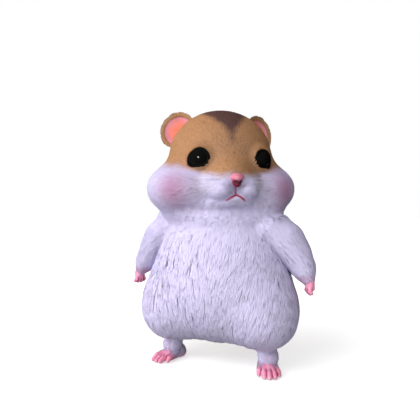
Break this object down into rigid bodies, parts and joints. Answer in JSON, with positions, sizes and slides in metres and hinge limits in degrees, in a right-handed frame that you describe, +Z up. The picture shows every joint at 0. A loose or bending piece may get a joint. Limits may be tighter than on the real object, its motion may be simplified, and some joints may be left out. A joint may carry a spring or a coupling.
{
  "type": "syrian hamster model",
  "caption": "Life-size still model of a Syrian hamster standing upright on its hind feet, with its forelegs hanging at its sides, full cheek pouches and its head turned to its left.",
  "frame": {"origin": "on the floor, under the middle of the bounding box", "axes": "+Z up, -Y the way the belly faces, +X to the animal's left"},
  "size_m": [0.0832, 0.0544, 0.1112],
  "materials": {
    "golden_coat": "short, dense golden fur",
    "white_coat": "dense white fur, longer on the belly",
    "bare_skin": "bare pink skin, finely creased",
    "ear_skin": "thin pink skin, sparse down",
    "eye": "wet, glossy, almost black"
  },
  "bodies": {
    "root": {"head": "golden_coat", "nose": "bare_skin", "lower_jaw": "white_coat", "ear_left": "ear_skin", "ear_right": "ear_skin", "eye_left": "eye", "eye_right": "eye", "neck": "white_coat", "torso": "white_coat", "tail": "bare_skin", "upper_arm_left": "white_coat", "upper_arm_right": "white_coat", "forearm_left": "white_coat", "forearm_right": "white_coat", "forepaw_left": "bare_skin", "forepaw_right": "bare_skin", "thigh_left": "white_coat", "thigh_right": "white_coat", "shank_left": "white_coat", "shank_right": "white_coat", "hind_foot_left": "bare_skin", "hind_foot_right": "bare_skin"}
  },
  "joints": []
}
